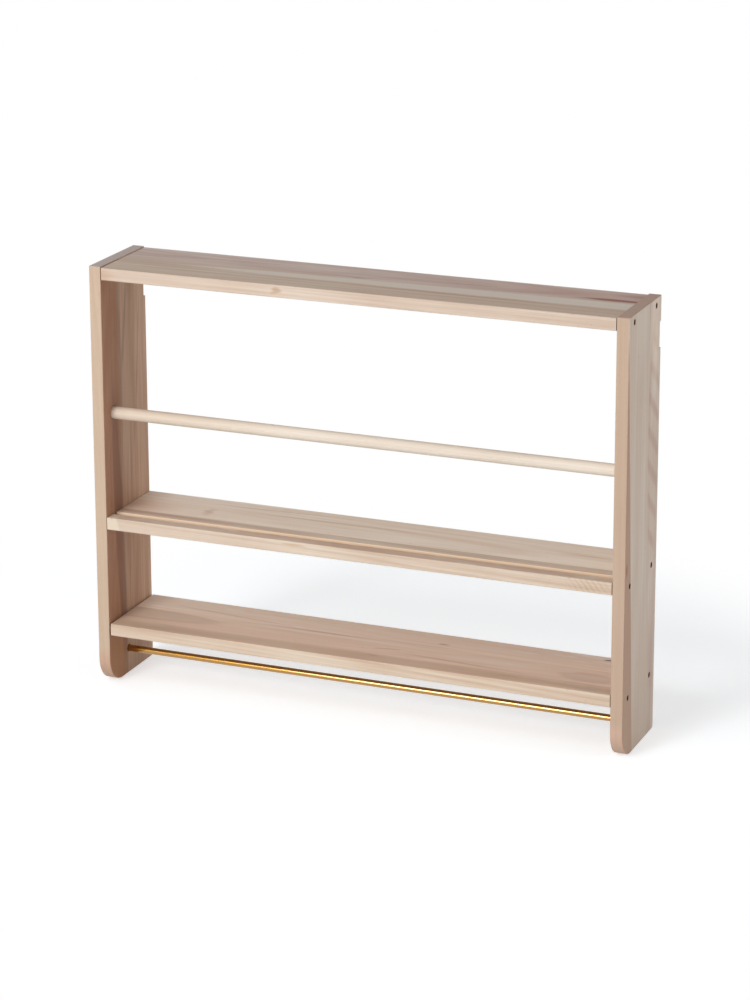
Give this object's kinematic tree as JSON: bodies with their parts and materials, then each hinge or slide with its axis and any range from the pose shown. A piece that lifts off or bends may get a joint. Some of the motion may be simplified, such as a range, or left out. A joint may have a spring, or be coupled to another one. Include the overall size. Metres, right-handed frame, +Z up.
{
  "type": "plate shelf",
  "caption": "Wall-hung plate shelf: side panels with rounded feet, top board, grooved middle shelf, lower shelf, wooden plate rail and brass hook rail below.",
  "frame": {"origin": "floor level, midway between the side panels and midway between their front and back edges", "axes": "+Z up, front faces -Y, X along the shelf"},
  "size_m": [0.8, 0.14, 0.628],
  "materials": {
    "board_wood": "bare sanded hardwood, edge-glued staves",
    "rail_wood": "bare sanded pale hardwood dowel",
    "brass": "polished brass",
    "zinc_steel": "zinc plated steel"
  },
  "bodies": {
    "frame": {"left_side_panel": "board_wood", "right_side_panel": "board_wood", "top_board": "board_wood", "middle_shelf": "board_wood", "bottom_shelf": "board_wood", "left_hanger_plate": "zinc_steel", "right_hanger_plate": "zinc_steel", "left_hanger_screws": "zinc_steel", "right_hanger_screws": "zinc_steel", "top_left_screws": "zinc_steel", "top_right_screws": "zinc_steel", "middle_left_screws": "zinc_steel", "middle_right_screws": "zinc_steel", "bottom_left_screws": "zinc_steel", "bottom_right_screws": "zinc_steel"},
    "plate_rail": {"plate_rail": "rail_wood"},
    "hook_rail": {"hook_rail": "brass"}
  },
  "joints": [
    {"name": "plate_rail_turn", "type": "hinge", "parent": "frame", "child": "plate_rail", "pos_m": [0, -0.039, 0.4065], "axis": [1, 0, 0], "continuous": true},
    {"name": "hook_rail_turn", "type": "hinge", "parent": "frame", "child": "hook_rail", "pos_m": [0, -0.0085, 0.0375], "axis": [1, 0, 0], "continuous": true}
  ]
}
